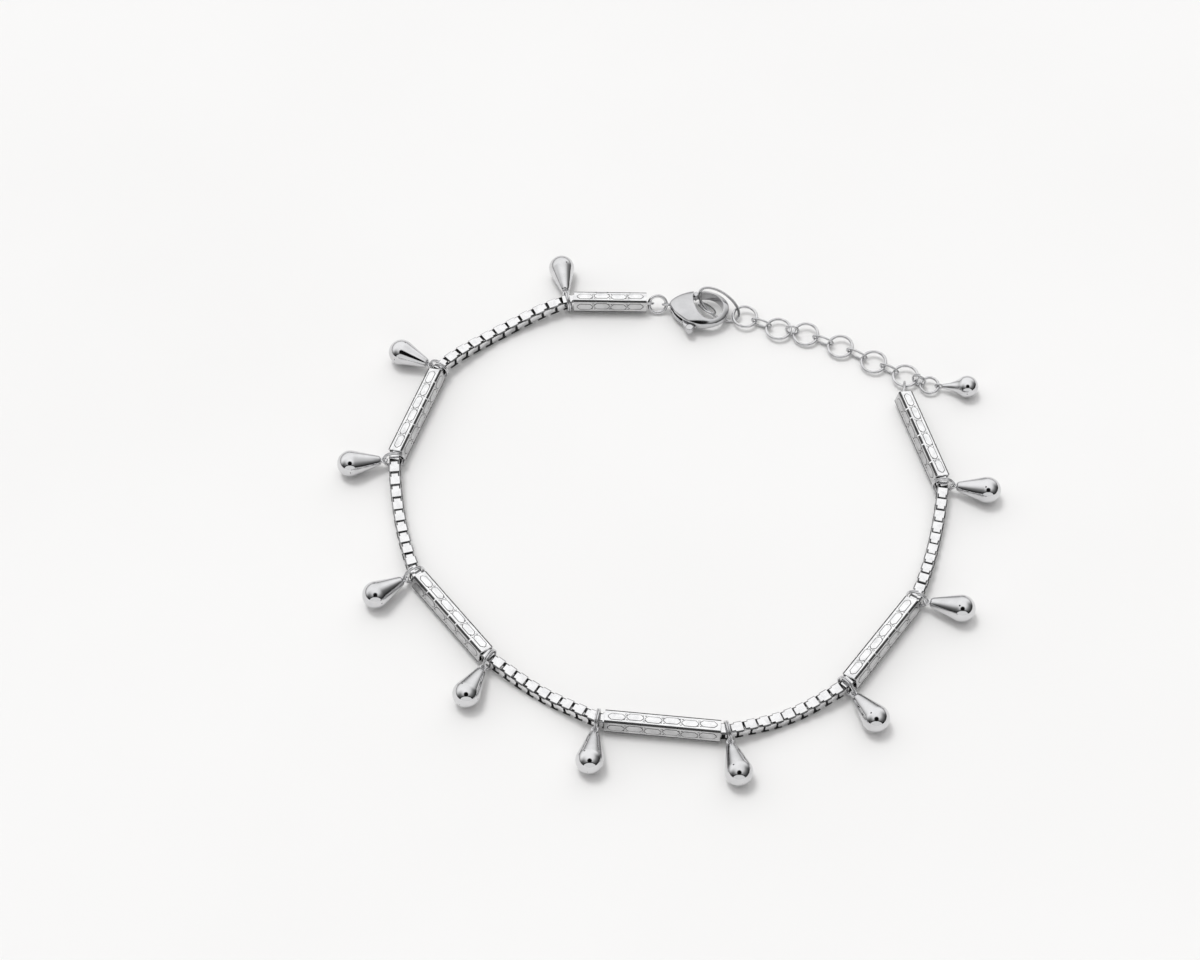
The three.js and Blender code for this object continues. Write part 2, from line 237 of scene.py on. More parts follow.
def roundMask(nodes, links, vector, towards, radius, edge):
    # 1 within radius degrees of a direction, falling to 0 over its edge
    near = nodes.new("ShaderNodeVectorMath")
    near.operation = "DOT_PRODUCT"
    near.inputs[1].default_value = towards.normalized()
    links.new(vector, near.inputs[0])
    spot = nodes.new("ShaderNodeMapRange")
    spot.interpolation_type = "SMOOTHSTEP"
    spot.inputs["From Min"].default_value = math.cos(math.radians(radius + edge))
    spot.inputs["From Max"].default_value = math.cos(math.radians(radius))
    links.new(near.outputs["Value"], spot.inputs["Value"])
    return spot.outputs[0]


def mixOver(nodes, links, mask, under, over):
    # over shows where the mask is 1; each is a socket or a grey level
    mix = nodes.new("ShaderNodeMixRGB")
    links.new(mask, mix.inputs["Fac"])
    for key, value in (("Color1", under), ("Color2", over)):
        if isinstance(value, float):
            mix.inputs[key].default_value = (value, value, value, 1)
        else:
            links.new(value, mix.inputs[key])
    return mix.outputs[0]


def addStudio(settings):
    world = bpy.data.worlds.new("studio")
    bpy.context.scene.world = world
    world.use_nodes = True
    nodes, links = world.node_tree.nodes, world.node_tree.links
    nodes.clear()
    direction = nodes.new("ShaderNodeTexCoord").outputs["Generated"]
    split = nodes.new("ShaderNodeSeparateXYZ")
    links.new(direction, split.inputs[0])
    level = mixOver(
        nodes, links, roundMask(nodes, links, direction, **settings["bright"]),
        heightRamp(nodes, links, split.outputs["Z"], settings["inFront"]),
        heightRamp(nodes, links, split.outputs["Z"], settings["behind"]),
    )
    for name in ("frame", "card", "lens"):
        mask = roundMask(nodes, links, direction, **settings[name])
        level = mixOver(nodes, links, mask, level, settings[name + "Level"])
    path = nodes.new("ShaderNodeLightPath")
    seen = path.outputs["Is Camera Ray"]
    level = mixOver(nodes, links, seen, level, settings["backdropLevel"])
    background = nodes.new("ShaderNodeBackground")
    background.inputs["Strength"].default_value = settings["strength"]
    links.new(level, background.inputs["Color"])
    output = nodes.new("ShaderNodeOutputWorld")
    links.new(background.outputs[0], output.inputs["Surface"])


addStudio(studioSettings)

# one wide lamp, high up and a little behind on the left
lampSettings = {"energy": 1.04, "angle": 20, "height": 0.5, "from": Vector((-0.24, 0.30, 0.92))}


def addLamp(settings):
    bpy.ops.object.light_add(type="SUN", location=(0, 0, settings["height"]))
    lamp = bpy.context.object
    lamp.name = "sun"
    lamp.data.energy = settings["energy"]
    lamp.data.angle = math.radians(settings["angle"])
    lamp.visible_glossy = False   # the metal mirrors the studio, not the lamp
    lamp.rotation_euler = settings["from"].to_track_quat("Z", "Y").to_euler()


addLamp(lampSettings)
bpy.context.scene.view_settings.view_transform = "Standard"
print("studio added")


# Materials

patternSettings = {
    "grain": {"detail": 4, "roughness": 0.65},
    "smudges": {"detail": 3, "from": 0.42, "to": 0.68},
    "scratches": {"turn": (0.3, 0.2, 0.7), "stretch": (1.0, 0.16, 1.0)},
}


def maskGroup(name, extra, value):
    # an empty node group that goes from a vector, a scale and one more number to a mask
    group = bpy.data.node_groups.new(name, "ShaderNodeTree")
    group.interface.new_socket("Vector", in_out="INPUT", socket_type="NodeSocketVector")
    for label, start in (("Scale", 1.0), (extra, value)):
        socket = group.interface.new_socket(label, in_out="INPUT", socket_type="NodeSocketFloat")
        socket.default_value = start
    group.interface.new_socket("Mask", in_out="OUTPUT", socket_type="NodeSocketFloat")
    return group, group.nodes.new("NodeGroupInput"), group.nodes.new("NodeGroupOutput")


def grainGroup(settings):
    # short polishing lines, stretched along one direction of the piece
    group, source, result = maskGroup("fineGrain", "Stretch", 1.0)
    nodes, links = group.nodes, group.links
    squeeze = nodes.new("ShaderNodeCombineXYZ")
    squeeze.inputs["Y"].default_value = 1.0
    squeeze.inputs["Z"].default_value = 1.0
    links.new(source.outputs["Stretch"], squeeze.inputs["X"])
    scaled = nodes.new("ShaderNodeVectorMath")
    scaled.operation = "MULTIPLY"
    links.new(source.outputs["Vector"], scaled.inputs[0])
    links.new(squeeze.outputs[0], scaled.inputs[1])
    noise = nodes.new("ShaderNodeTexNoise")
    noise.inputs["Detail"].default_value = settings["detail"]
    noise.inputs["Roughness"].default_value = settings["roughness"]
    links.new(scaled.outputs[0], noise.inputs["Vector"])
    links.new(source.outputs["Scale"], noise.inputs["Scale"])
    links.new(noise.outputs["Fac"], result.inputs["Mask"])
    return group


def smudgeGroup(settings):
    # broad, faint patches where the polish is a little duller
    group, source, result = maskGroup("softSmudges", "Amount", 0.5)
    nodes, links = group.nodes, group.links
    noise = nodes.new("ShaderNodeTexNoise")
    noise.inputs["Detail"].default_value = settings["detail"]
    links.new(source.outputs["Vector"], noise.inputs["Vector"])
    links.new(source.outputs["Scale"], noise.inputs["Scale"])
    contrast = nodes.new("ShaderNodeMapRange")
    contrast.inputs["From Min"].default_value = settings["from"]
    contrast.inputs["From Max"].default_value = settings["to"]
    links.new(noise.outputs["Fac"], contrast.inputs["Value"])
    amount = nodes.new("ShaderNodeMath")
    amount.operation = "MULTIPLY"
    links.new(contrast.outputs[0], amount.inputs[0])
    links.new(source.outputs["Amount"], amount.inputs[1])
    links.new(amount.outputs[0], result.inputs["Mask"])
    return group


def scratchGroup(settings):
    # sparse hairline scratches, as the thin borders of a stretched cell pattern
    group, source, result = maskGroup("hairScratches", "Width", 0.03)
    nodes, links = group.nodes, group.links
    warp = nodes.new("ShaderNodeMapping")
    warp.inputs["Rotation"].default_value = settings["turn"]
    warp.inputs["Scale"].default_value = settings["stretch"]
    links.new(source.outputs["Vector"], warp.inputs["Vector"])
    cells = nodes.new("ShaderNodeTexVoronoi")
    cells.feature = "DISTANCE_TO_EDGE"
    links.new(warp.outputs[0], cells.inputs["Vector"])
    links.new(source.outputs["Scale"], cells.inputs["Scale"])
    thin = nodes.new("ShaderNodeMath")
    thin.operation = "LESS_THAN"
    links.new(cells.outputs["Distance"], thin.inputs[0])
    links.new(source.outputs["Width"], thin.inputs[1])
    links.new(thin.outputs[0], result.inputs["Mask"])
    return group


groups = {
    "grain": grainGroup(patternSettings["grain"]),
    "smudges": smudgeGroup(patternSettings["smudges"]),
    "scratches": scratchGroup(patternSettings["scratches"]),
}

# how fine each surface's grain, patches and scratches are, and how deep they go
polishedGrain = {
    "grainScale": 2600, "stretch": 1.0, "smudgeScale": 420, "scratchScale": 700,
    "bump": 0.02, "bumpDepth": 2e-6,
}
brushedGrain = {
    "grainScale": 3800, "stretch": 0.25, "smudgeScale": 900, "scratchScale": 1100,
    "bump": 0.10, "bumpDepth": 6e-6,
}
darkLineGrain = {
    "grainScale": 3800, "stretch": 0.5, "smudgeScale": 1500, "scratchScale": 1300,
    "bump": 0.15, "bumpDepth": 6e-6,
}
foldedGrain = {
    "grainScale": 4200, "stretch": 0.4, "smudgeScale": 1200, "scratchScale": 1500,
    "bump": 0.08, "bumpDepth": 5e-6,
}
shelteredGrain = {
    "grainScale": 4600, "stretch": 0.6, "smudgeScale": 1500, "scratchScale": 1500,
    "bump": 0.12, "bumpDepth": 6e-6,
}
drawnGrain = {
    "grainScale": 4200, "stretch": 0.6, "smudgeScale": 1100, "scratchScale": 1600,
    "bump": 0.05, "bumpDepth": 4e-6,
}
roughGrain = {
    "grainScale": 5200, "stretch": 1.0, "smudgeScale": 1800, "scratchScale": 2000,
    "bump": 0.25, "bumpDepth": 8e-6,
}

# shade is the colour of the duller patches; roughness runs from the polish to those patches
steelSettings = {
    "mirrorSteel": {
        **polishedGrain,
        "color": (0.71, 0.71, 0.72), "shade": (0.61, 0.61, 0.62), "roughness": (0.045, 0.11),
    },
    "claspSteel": {
        **polishedGrain,
        "color": (0.60, 0.60, 0.61), "shade": (0.52, 0.52, 0.53), "roughness": (0.06, 0.13),
    },
    # the tubes' upright sides: a darker copy of tubeSteel, painted shade for the sides turned away from
    # the light
    "tubeSidePaintedShade": {
        **brushedGrain,
        "color": (0.60, 0.60, 0.605), "shade": (0.46, 0.46, 0.465), "roughness": (0.14, 0.26),
    },
    # the lighter copy, for the tubes' tops and bottoms, their cells and the nubs, beside the painted-shade
    # copy of the upright sides
    "tubeSteel": {
        **brushedGrain,
        "color": (0.86, 0.86, 0.865), "shade": (0.70, 0.70, 0.71), "roughness": (0.10, 0.22),
    },
    "chainSteel": {
        **foldedGrain,
        "color": (0.82, 0.82, 0.825), "shade": (0.72, 0.72, 0.73), "roughness": (0.09, 0.18),
    },
    # painted shade on the plates' sloping edges, sides and ends, darker than their bright outer faces
    "chainEdgePaintedShade": {
        **foldedGrain,
        "color": (0.42, 0.42, 0.425), "shade": (0.30, 0.30, 0.305), "roughness": (0.12, 0.22),
    },
    # painted shade on the links' inner faces, for the dark gaps between the links
    "chainInsidePaintedShade": {
        **shelteredGrain,
        "color": (0.17, 0.17, 0.17), "shade": (0.09, 0.09, 0.09), "roughness": (0.25, 0.42),
    },
    "wireSteel": {
        **drawnGrain,
        "color": (0.67, 0.67, 0.68), "shade": (0.54, 0.54, 0.55), "roughness": (0.07, 0.16),
    },
    # the tubes' rounded long edges and a strip beside each: a painted dark reflection
    "paintedEdgeReflection": {
        **darkLineGrain,
        "color": (0.075, 0.075, 0.075), "shade": (0.045, 0.045, 0.045), "roughness": (0.22, 0.38),
    },
    "tubeLine": {
        **darkLineGrain,
        "color": (0.09, 0.09, 0.09), "shade": (0.05, 0.05, 0.05), "roughness": (0.22, 0.38),
    },
    # painted shade for hollows: the inside of the tubes' bores and the floors of the charms' pits; the
    # tubes' small dashes are coated with it too
    "paintedRecessShade": {
        **roughGrain,
        "color": (0.075, 0.073, 0.072), "shade": (0.03, 0.029, 0.028), "roughness": (0.40, 0.60),
    },
}
wearSettings = {"smudgeAmount": 0.8, "scratchWidth": 0.018, "grainShare": 0.5}   # the same on all steel


def placeGroup(nodes, links, name, vector, **values):
    node = nodes.new("ShaderNodeGroup")
    node.node_tree = groups[name]
    links.new(vector, node.inputs["Vector"])
    for key, value in values.items():
        node.inputs[key].default_value = value
    return node


def newMaterial(name):
    material = bpy.data.materials.new(name)
    material.use_nodes = True
    nodes = material.node_tree.nodes
    return material, nodes, material.node_tree.links, nodes["Principled BSDF"]


def tintShader(nodes, links, shader, mask, settings):
    tone = nodes.new("ShaderNodeMixRGB")
    tone.inputs["Color1"].default_value = (*settings["color"], 1)
    tone.inputs["Color2"].default_value = (*settings["shade"], 1)
    links.new(mask, tone.inputs["Fac"])
    links.new(tone.outputs[0], shader.inputs["Base Color"])


def steelMaterial(name, settings, wear):
    material, nodes, links, shader = newMaterial(name)
    shader.inputs["Metallic"].default_value = 1.0
    vector = nodes.new("ShaderNodeTexCoord").outputs["Object"]
    grain = placeGroup(
        nodes, links, "grain", vector, Scale=settings["grainScale"], Stretch=settings["stretch"]
    )
    smudges = placeGroup(
        nodes, links, "smudges", vector, Scale=settings["smudgeScale"], Amount=wear["smudgeAmount"]
    )
    scratches = placeGroup(
        nodes, links, "scratches", vector, Scale=settings["scratchScale"], Width=wear["scratchWidth"]
    )
    tintShader(nodes, links, shader, smudges.outputs["Mask"], settings)

    dull = nodes.new("ShaderNodeMath")
    dull.operation = "MULTIPLY_ADD"
    dull.use_clamp = True
    dull.inputs[1].default_value = wear["grainShare"]
    links.new(grain.outputs["Mask"], dull.inputs[0])
    links.new(smudges.outputs["Mask"], dull.inputs[2])
    rough = nodes.new("ShaderNodeMapRange")
    rough.inputs["To Min"].default_value, rough.inputs["To Max"].default_value = settings["roughness"]
    links.new(dull.outputs[0], rough.inputs["Value"])
    links.new(rough.outputs[0], shader.inputs["Roughness"])

    height = nodes.new("ShaderNodeMath")
    height.operation = "SUBTRACT"
    links.new(grain.outputs["Mask"], height.inputs[0])
    links.new(scratches.outputs["Mask"], height.inputs[1])
    bump = nodes.new("ShaderNodeBump")
    bump.inputs["Strength"].default_value = settings["bump"]
    bump.inputs["Distance"].default_value = settings["bumpDepth"]
    links.new(height.outputs[0], bump.inputs["Height"])
    links.new(bump.outputs[0], shader.inputs["Normal"])
    return material


materials = {
    name: steelMaterial(name, settings, wearSettings) for name, settings in steelSettings.items()
}

floorSettings = {
    "size": 6, "cuts": 7, "color": (0.89, 0.885, 0.88), "shade": (0.875, 0.869, 0.863),
    "roughness": 0.75, "smudgeScale": 14, "smudgeAmount": 1.0,
}


def floorMaterial(settings):
    material, nodes, links, shader = newMaterial("paleFloor")
    shader.inputs["Roughness"].default_value = settings["roughness"]
    vector = nodes.new("ShaderNodeTexCoord").outputs["Object"]
    smudges = placeGroup(
        nodes, links, "smudges", vector, Scale=settings["smudgeScale"], Amount=settings["smudgeAmount"]
    )
    tintShader(nodes, links, shader, smudges.outputs["Mask"], settings)
    return material


def coat(piece, *names):
    piece.data.materials.clear()
    for name in names:
        piece.data.materials.append(materials[name])


bpy.ops.mesh.primitive_plane_add(size=floorSettings["size"])
floor = addedPiece("floor")
pickAll(floor)
bpy.ops.mesh.subdivide(number_cuts=floorSettings["cuts"])
leaveEditMode()
floor.data.materials.append(floorMaterial(floorSettings))
print("materials made:", ", ".join(materials))


def finishPiece(piece, node, place=Matrix.Identity(4), body="bracelet"):
    # from millimetres at the origin to metres in place, carried by its body instead of its solid
    piece.data.transform(Matrix.Scale(millimetre, 4) @ place)
    piece.name = node + "Fine"
    piece.data.name = piece.name
    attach(piece, body)
    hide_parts(node)
    return piece


# Wire rings and links

# joint is the width of the cut where a wire's two ends meet
wireSettings = {"steps": 12, "section": 5, "joint": 0.035}


def ovalWire(name, sizes, settings):
    halfLength, halfWidth = sizes["halfLength"], sizes["halfWidth"]
    bpy.ops.curve.primitive_bezier_circle_add(radius=halfWidth)
    oval = bpy.context.object
    bpy.ops.object.mode_set(mode="EDIT")
    bpy.ops.curve.select_all(action="SELECT")
    bpy.ops.curve.handle_type_set(type="ALIGNED")
    bpy.ops.transform.resize(value=(halfLength / halfWidth, 1, 1))
    leaveEditMode()
    oval.data.resolution_u = settings["steps"]
    oval.data.bevel_depth = sizes["wire"]
    oval.data.bevel_resolution = settings["section"]
    bpy.ops.object.convert(target="MESH")
    piece = addedPiece(name)
    faceOutwards(piece, merge=True)
    return piece


def cutJoint(piece, width):
    # a fine groove right round the wire, on one long side
    def inCut(face):
        centre = face.calc_center_median()
        return abs(centre.x) < width / 2 and centre.y > 0

    for side in (-1, 1):
        pickAll(piece)
        bpy.ops.mesh.bisect(plane_co=(side * width / 2, 0, 0), plane_no=(1, 0, 0))
    pick(piece, "FACE", inCut)
    bpy.ops.mesh.delete(type="FACE")
    pick(piece, "EDGE", lambda edge: edge.is_boundary and edge.verts[0].co.x > 0)
    bpy.ops.mesh.edge_face_add()
    pick(piece, "EDGE", lambda edge: edge.is_boundary and edge.verts[0].co.x < 0)
    bpy.ops.mesh.edge_face_add()
    leaveEditMode()


def addWire(node, settings):
    sizes = wireOf(node)
    piece = ovalWire(node, sizes, settings)
    cutJoint(piece, settings["joint"])
    smoothed(piece)
    coat(piece, "wireSteel")
    return finishPiece(piece, node, sizes["place"])


wireNodes = ["start_loop", "end_loop", "clasp_ring", "held_link", "inner_link", "end_ring"]
wireNodes += [f"extension_ring_{number}" for number in range(1, 7)]
wireNodes += [f"extension_link_{number}" for number in range(1, 6)]
for node in wireNodes:
    addWire(node, wireSettings)
print("wire rings and links made:", len(wireNodes))


# Split rings: two turns of thinner wire side by side

splitRingSettings = {"wire": 0.115, "pitch": 0.235, "turns": 2, "stepsPerTurn": 40, "section": 10}


def addSplitRing(node, settings):
    sizes = wireOf(node)
    radius = sizes["halfLength"] + sizes["wire"] - settings["wire"]
    rise = settings["pitch"] * settings["turns"]
    steps = settings["stepsPerTurn"] * settings["turns"]
    bpy.ops.mesh.primitive_circle_add(
        vertices=settings["section"], radius=settings["wire"],
        location=(radius, 0, 0), rotation=(math.pi / 2, 0, 0),
    )
    piece = addedPiece(node)
    applyModifier(
        piece, "SCREW", axis="Z", angle=2 * math.pi * settings["turns"], screw_offset=rise,
        steps=steps, render_steps=steps,
    )
    for atStart in (True, False):
        pick(
            piece, "EDGE",
            lambda edge: edge.is_boundary and (edge.verts[0].co.z < rise / 2) == atStart,
        )
        bpy.ops.mesh.edge_face_add()
    pickAll(piece)
    bpy.ops.transform.translate(value=(0, 0, -rise / 2))
    bpy.ops.mesh.normals_make_consistent(inside=False)
    leaveEditMode()
    smoothed(piece)
    coat(piece, "wireSteel")
    return finishPiece(piece, node, sizes["place"])


splitRingNodes = [f"junction_ring_{number}" for number in range(1, 11)] + ["end_link"]
for node in splitRingNodes:
    addSplitRing(node, splitRingSettings)
print("split rings made:", len(splitRingNodes))


# Teardrop charms

charmSettings = {
    "eyeRadius": 0.36, "eyeWire": 0.13, "eyeTurn": 0, "head": 0.40, "length": 3.95, "bulb": 1.72,
    "joinAngle": 17.5, "pitRadius": 0.085, "pitDepth": 0.05,
    # on the bulb, degrees back from its tip and degrees round from its top
    "pits": [(0, 0), (84, 82), (96, -84), (97, -22)],
    # distance from the head and radius, from the bulb back to the head's rounded shoulder
    "outline": [
        (2.4, 1.317), (1.2, 0.938), (0.34, 0.667), (0.2, 0.60), (0.09, 0.52), (0.02, 0.40), (0.0, 0.26),
    ],
}
endCharmSettings = {
    "eyeRadius": 0.42, "eyeWire": 0.15, "eyeTurn": 90, "head": 0.42, "length": 3.3, "bulb": 1.47,
    "joinAngle": 24, "pitRadius": 0.08, "pitDepth": 0.045, "pits": [(0, 0), (84, -82), (96, 84)],
    "outline": [
        (2.35, 1.08), (2.0, 0.87), (1.55, 0.66), (1.1, 0.5), (0.6, 0.41), (0.3, 0.36), (0.1, 0.31),
        (0.0, 0.2),
    ],
}
# what all charms share; pitInset is the share of a pit's radius that slopes down
charmDetail = {
    "segments": 56, "rings": 90, "eyeSegments": 36, "eyeSection": 12, "pitInset": 0.2, "smoothing": 35,
}


def makeCharm(name, settings, detail):
    bulb = settings["bulb"]
    centre = settings["head"] + settings["length"]
    join = centre - bulb * math.sin(math.radians(settings["joinAngle"]))
    bpy.ops.mesh.primitive_uv_sphere_add(
        segments=detail["segments"], ring_count=detail["rings"], radius=bulb,
        location=(centre, 0, 0), rotation=(0, math.pi / 2, 0),
    )
    drop = addedPiece(name)
    pick(drop, "VERT", lambda vertex: vertex.co.x < join - tiny)
    bpy.ops.mesh.delete(type="VERT")

    # the bulb's open rim is drawn back to the head, step by step
    pick(drop, "EDGE", lambda edge: edge.is_boundary)
    rim = [edge for edge in bmesh.from_edit_mesh(drop.data).edges if edge.is_boundary]
    at = max(vertex.co.x for edge in rim for vertex in edge.verts)
    radius = math.sqrt(bulb ** 2 - (centre - at) ** 2)
    for along, nextRadius in settings["outline"]:
        nextAt = settings["head"] + along
        bpy.ops.mesh.extrude_edges_move(TRANSFORM_OT_translate={"value": (nextAt - at, 0, 0)})
        bpy.ops.transform.resize(
            value=(1, nextRadius / radius, nextRadius / radius), center_override=(nextAt, 0, 0)
        )
        at, radius = nextAt, nextRadius
    bpy.ops.mesh.edge_face_add()
    faceOutwards(drop)
    coat(drop, "mirrorSteel", "paintedRecessShade")

    # small pits in the bulb, each pit's floor coated with the painted recess shade
    for back, around in settings["pits"]:
        tilt, turn = math.radians(back), math.radians(around)
        reach = math.sin(tilt)
        spot = Vector((math.cos(tilt), reach * math.sin(turn), reach * math.cos(turn))) * bulb
        spot.x += centre
        pick(
            drop, "FACE",
            lambda face: (face.calc_center_median() - spot).length < settings["pitRadius"],
        )
        bpy.ops.mesh.inset(
            thickness=settings["pitRadius"] * detail["pitInset"], depth=-settings["pitDepth"]
        )
        for face in bmesh.from_edit_mesh(drop.data).faces:
            if face.select:
                face.material_index = 1
        leaveEditMode()

    bpy.ops.mesh.primitive_torus_add(
        major_radius=settings["eyeRadius"], minor_radius=settings["eyeWire"],
        major_segments=detail["eyeSegments"], minor_segments=detail["eyeSection"],
        rotation=(math.radians(settings["eyeTurn"]), 0, 0),
    )
    eye = addedPiece("eye")
    coat(eye, "mirrorSteel", "paintedRecessShade")
    charm = joined([drop, eye], name)
    smoothed(charm, detail["smoothing"])
    return charm


def charmPlace(node, settings):
    # the long axis of the solid teardrop, from its eye's outer edge to its tip
    points = cornersOf(node)
    centre = points.mean(axis=0)
    along = np.linalg.svd(points - centre)[2][0]
    reach = (points - centre) @ along
    wide = np.linalg.norm((points - centre) - np.outer(reach, along), axis=1)
    if reach[wide.argmax()] < 0:
        along, reach = -along, -reach
    tip = centre + along * reach.max()
    whole = settings["head"] + settings["length"] + settings["bulb"]
    return axisPlace(Vector(tip - along * whole), Vector(along))


charmTemplate = makeCharm("charmTemplate", charmSettings, charmDetail)
for number in range(1, 11):
    node = f"charm_{number}"
    finishPiece(copyOf(charmTemplate, node), node, charmPlace(node, charmSettings))
discard(charmTemplate)
endCharm = makeCharm("endCharm", endCharmSettings, charmDetail)
finishPiece(endCharm, "end_charm", charmPlace("end_charm", endCharmSettings))
print("charms made")


# Square tubes

tubeSettings = {
    # paintedEdgeReflection is the width of the flat strip beside each rounded edge that also gets the
    # painted dark reflection
    "side": 1.95, "wall": 0.165, "edgeRound": 0.12, "edgeSteps": 3, "paintedEdgeReflection": 0.095,
    "rim": 0.03, "rimSteps": 2, "margin": 0.36, "smoothing": 12,
    "cellPitch": 2.2, "cellLength": 2.10, "cellWidth": 1.02, "cellCorner": 0.37, "cellRise": 0.024,
    "cellSlope": 0.085, "stagger": 0.07,
    "studSides": 6, "studRadius": 0.12, "studSlope": 0.05, "studAcross": 0.40,
    "dash": (0.23, 0.11, 0.012), "dashGap": 0.36, "dashAcross": 0.42,
    "clip": (0.2, 0.34, 0.05), "clipRound": 0.02, "clipSteps": 2, "clipOut": 0.928, "clipSlip": 0.35,
}
flat = 0.999         # the normal of a raised shape's top goes at least this far up
slanting = 0.5       # the normals of a tube's ends and rims go at least this far along it
justInside = 1.01    # times the rounding of the long edges, to take in where it starts
boreGap = 0.01       # in millimetres, beyond the bore, for a face that still counts as its own
wideShare = 0.6      # a solid tube's wide faces have at least this share of its largest area


def makeRaisedShape(name, shape, slope, rise):
    # a flat outline raised a little, with dark sloping sides
    pickAll(shape)
    bpy.ops.mesh.inset(thickness=slope, depth=rise)
    leaveEditMode()
    shape.name = name
    coat(shape, "tubeSteel", "tubeLine")
    for face in shape.data.polygons:
        face.material_index = 1 if face.normal.z < flat else 0
    return shape


def makeCell(settings):
    bpy.ops.mesh.primitive_plane_add(size=1)
    bpy.context.object.scale = (settings["cellLength"], settings["cellWidth"], 1)
    plate = addedPiece("cell")
    pick(plate, "VERT", lambda vertex: True)
    bpy.ops.mesh.bevel(offset=settings["cellCorner"], affect="VERTICES")
    return makeRaisedShape("cell", plate, settings["cellSlope"], settings["cellRise"])


def makeStud(settings):
    slope = settings["studSlope"]
    bpy.ops.mesh.primitive_circle_add(
        vertices=settings["studSides"], radius=settings["studRadius"] + slope, fill_type="NGON"
    )
    return makeRaisedShape("stud", addedPiece("stud"), slope, settings["cellRise"])


def makeDash(settings):
    length, width, rise = settings["dash"]
    dash = boxPiece("dash", (length, width, rise * 2))
    applyModifier(dash, "BEVEL", width=rise, segments=1)
    # the dash is dark all over, coated with the painted recess shade
    coat(dash, "paintedRecessShade")
    return dash


def makeClip(settings):
    # a small bright nub that crosses a long edge
    clip = boxPiece("clip", settings["clip"])
    applyModifier(clip, "BEVEL", width=settings["clipRound"], segments=settings["clipSteps"])
    coat(clip, "tubeSteel")
    return clip


def makeTubeBody(length, settings):
    # an open square tube along +X, with a painted dark reflection along both sides of every long edge
    side = settings["side"]
    half = side / 2
    tube = boxPiece("tubeBody", (length, side, side), (length / 2, 0, 0))
    pick(tube, "EDGE", lambda edge: spanOf(edge, 0) > length / 2)
    bpy.ops.mesh.bevel(offset=settings["edgeRound"], segments=settings["edgeSteps"])
    pick(tube, "FACE", lambda face: abs(face.normal.x) > facing)
    bpy.ops.mesh.inset(thickness=settings["wall"])
    bpy.ops.mesh.bridge_edge_loops()
    faceOutwards(tube)

    shoulder = half - settings["edgeRound"] * justInside

    def onRim(edge):
        atEnd = all(abs(vertex.co.x - length / 2) > length / 2 - tiny for vertex in edge.verts)
        corner = edge.verts[0].co
        return atEnd and max(abs(corner.y), abs(corner.z)) > shoulder

    pick(tube, "EDGE", onRim)
    bpy.ops.mesh.bevel(offset=settings["rim"], segments=settings["rimSteps"])

    inner = half - settings["wall"]
    line = half - settings["edgeRound"] - settings["paintedEdgeReflection"]

    def onOutside(face):
        return max(abs(value) for value in face.calc_center_median().yz) > inner

    for across in (-line, line):
        for direction in ((0, 1, 0), (0, 0, 1)):
            pick(tube, "FACE", onOutside)
            bpy.ops.mesh.bisect(plane_co=tuple(across * value for value in direction), plane_no=direction)
    leaveEditMode()

    coat(tube, "tubeSteel", "paintedEdgeReflection", "paintedRecessShade", "tubeSidePaintedShade")
    edgeReflectionSlot, boreShadeSlot, flankShadeSlot = 1, 2, 3
    for face in tube.data.polygons:
        out, across = sorted((abs(face.center.y), abs(face.center.z)), reverse=True)
        if abs(face.normal.x) > slanting:
            continue
        # the inside of the bore gets painted shade
        if out < inner + boreGap:
            face.material_index = boreShadeSlot
        # the rounded edges and the strips beside them get the painted dark reflection
        elif across > line:
            face.material_index = edgeReflectionSlot
        # the upright sides take the painted shade
        elif abs(face.normal.y) > facing:
            face.material_index = flankShadeSlot
    return tube


def tubePattern(length, settings):
    # one face: a row of cells, with a stud, two dashes and a clip where two cells meet
    base = settings["side"] / 2
    out = settings["clipOut"]
    room = length - 2 * settings["margin"]
    cells = round(room / settings["cellPitch"])
    pitch = room / cells
    stretch = Matrix.Diagonal((pitch / settings["cellPitch"], 1, 1, 1))
    cell, stud, dash, clip = makeCell(settings), makeStud(settings), makeDash(settings), makeClip(settings)
    parts = []
    for index in range(cells):
        side = 1 if index % 2 else -1
        middle = (settings["margin"] + pitch * (index + 0.5), side * settings["stagger"], base)
        parts.append(copyOf(cell, "cell", Matrix.Translation(middle) @ stretch))
        if index == 0:
            continue
        meet = settings["margin"] + pitch * index
        place = (meet, side * settings["studAcross"], base)
        parts.append(copyOf(stud, "stud", Matrix.Translation(place)))
        for step in (-0.5, 0.5):
            place = (meet + step * settings["dashGap"], -side * settings["dashAcross"], base)
            parts.append(copyOf(dash, "dash", Matrix.Translation(place)))
        edge = Matrix.Translation((meet + side * settings["clipSlip"], -out, out))
        parts.append(copyOf(clip, "clip", edge @ Matrix.Rotation(math.radians(45), 4, "X")))
    discard(cell, stud, dash, clip)
    return joined(parts, "pattern")


def upperSideOf(node):
    # the direction that the highest of a solid tube's wide outer faces looks in
    areas = {}
    for face in frame["nodes"][node].data.polygons:
        direction = tuple(round(value, 2) for value in face.normal)
        areas[direction] = areas.get(direction, 0) + face.area
    least = wideShare * max(areas.values())
    wide = [direction for direction, area in areas.items() if area > least]
    return Vector(max(wide, key=lambda direction: direction[2])).normalized()


